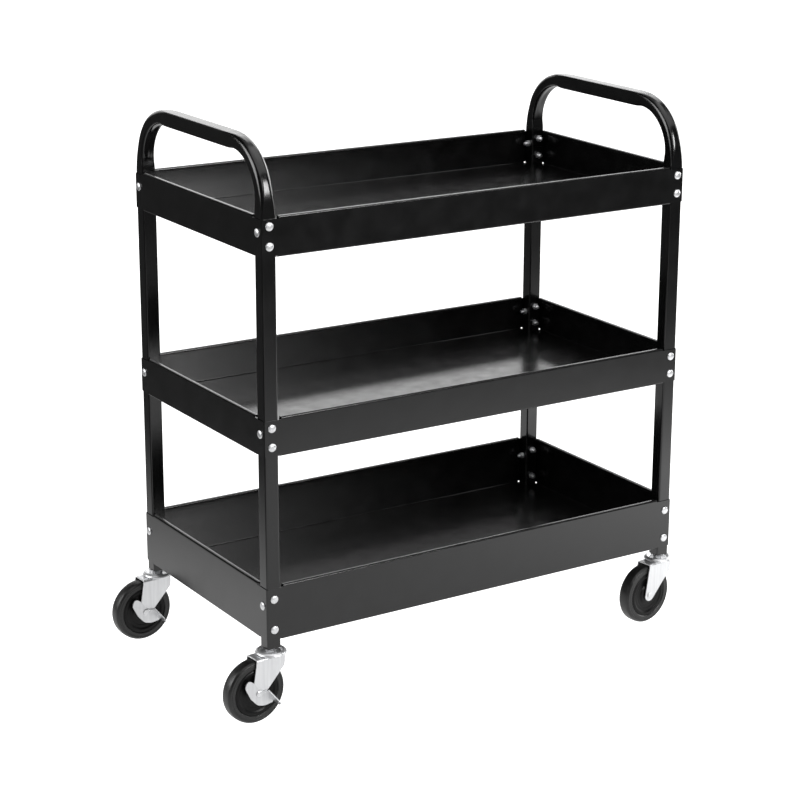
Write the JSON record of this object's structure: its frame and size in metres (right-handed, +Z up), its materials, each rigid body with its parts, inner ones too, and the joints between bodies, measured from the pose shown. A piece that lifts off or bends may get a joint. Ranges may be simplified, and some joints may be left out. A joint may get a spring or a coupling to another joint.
{
  "type": "tool cart",
  "caption": "Black steel tool cart: stacked open trays on square tube legs, a U-shaped tube handle at each end, and swivel casters, those at one end with foot brakes.",
  "frame": {"origin": "on the floor, below the centre of the trays", "axes": "+X along the long side, towards the end whose casters have no brake; +Y across the cart, towards the back long side; +Z up"},
  "size_m": [0.841, 0.4388, 0.8725],
  "materials": {
    "powder_coat": "semi-gloss black powder coat",
    "gloss_black": "gloss black paint",
    "zinc": "bright zinc plate",
    "steel": "plain steel",
    "rubber": "matte moulded rubber",
    "black_plastic": "satin moulded plastic"
  },
  "bodies": {
    "cart": {"top_tray": "powder_coat", "middle_tray": "powder_coat", "bottom_tray": "powder_coat", "handle_left": "gloss_black", "handle_right": "gloss_black", "leg_front_left": "gloss_black", "leg_back_left": "gloss_black", "leg_front_right": "gloss_black", "leg_back_right": "gloss_black", "tube_joiner_front_left": "steel", "tube_joiner_back_left": "steel", "tube_joiner_front_right": "steel", "tube_joiner_back_right": "steel", "leg_foot_front_left": "steel", "leg_foot_back_left": "steel", "leg_foot_front_right": "steel", "leg_foot_back_right": "steel", "caster_stem_front_left": "zinc", "caster_stem_back_left": "zinc", "caster_stem_front_right": "zinc", "caster_stem_back_right": "zinc", "stem_nut_front_left": "zinc", "stem_nut_back_left": "zinc", "stem_nut_front_right": "zinc", "stem_nut_back_right": "zinc", "ball_cup_front_left": "zinc", "ball_cup_back_left": "zinc", "ball_cup_front_right": "zinc", "ball_cup_back_right": "zinc"},
    "fork_front_left": {"fork_front_left": "zinc", "axle_front_left": "zinc", "axle_sleeve_front_left": "steel"},
    "fork_back_left": {"fork_back_left": "zinc", "axle_back_left": "zinc", "axle_sleeve_back_left": "steel"},
    "fork_front_right": {"fork_front_right": "zinc", "axle_front_right": "zinc", "axle_sleeve_front_right": "steel"},
    "fork_back_right": {"fork_back_right": "zinc", "axle_back_right": "zinc", "axle_sleeve_back_right": "steel"},
    "wheel_front_left": {"wheel_core_front_left": "black_plastic", "tyre_front_left": "rubber"},
    "wheel_back_left": {"wheel_core_back_left": "black_plastic", "tyre_back_left": "rubber"},
    "wheel_front_right": {"wheel_core_front_right": "black_plastic", "tyre_front_right": "rubber"},
    "wheel_back_right": {"wheel_core_back_right": "black_plastic", "tyre_back_right": "rubber"},
    "brake_front_left": {"brake_lever_front_left": "zinc"},
    "brake_back_left": {"brake_lever_back_left": "zinc"}
  },
  "joints": [
    {"name": "swivel_front_left", "type": "hinge", "parent": "cart", "child": "fork_front_left", "pos_m": [-0.36765, -0.18865, 0.102], "axis": [0, 0, 1], "continuous": true},
    {"name": "swivel_back_left", "type": "hinge", "parent": "cart", "child": "fork_back_left", "pos_m": [-0.36765, 0.18865, 0.102], "axis": [0, 0, 1], "continuous": true},
    {"name": "swivel_front_right", "type": "hinge", "parent": "cart", "child": "fork_front_right", "pos_m": [0.36765, -0.18865, 0.102], "axis": [0, 0, 1], "continuous": true},
    {"name": "swivel_back_right", "type": "hinge", "parent": "cart", "child": "fork_back_right", "pos_m": [0.36765, 0.18865, 0.102], "axis": [0, 0, 1], "continuous": true},
    {"name": "roll_front_left", "type": "hinge", "parent": "fork_front_left", "child": "wheel_front_left", "pos_m": [-0.39957, -0.19088, 0.0495], "axis": [-0.0698, 0.9976, 0], "continuous": true},
    {"name": "roll_back_left", "type": "hinge", "parent": "fork_back_left", "child": "wheel_back_left", "pos_m": [-0.39961, 0.18698, 0.0495], "axis": [-0.0523, 0.9986, 0], "continuous": true},
    {"name": "roll_front_right", "type": "hinge", "parent": "fork_front_right", "child": "wheel_front_right", "pos_m": [0.33596, -0.1931, 0.0495], "axis": [-0.1392, 0.9903, 0], "continuous": true},
    {"name": "roll_back_right", "type": "hinge", "parent": "fork_back_right", "child": "wheel_back_right", "pos_m": [0.33577, 0.18586, 0.0495], "axis": [-0.0872, 0.9962, 0], "continuous": true},
    {"name": "brake_front_left", "type": "hinge", "parent": "fork_front_left", "child": "brake_front_left", "pos_m": [-0.39957, -0.19088, 0.0495], "axis": [-0.0698, 0.9976, 0], "range_deg": [0, 30]},
    {"name": "brake_back_left", "type": "hinge", "parent": "fork_back_left", "child": "brake_back_left", "pos_m": [-0.39961, 0.18698, 0.0495], "axis": [-0.0523, 0.9986, 0], "range_deg": [0, 30]}
  ]
}
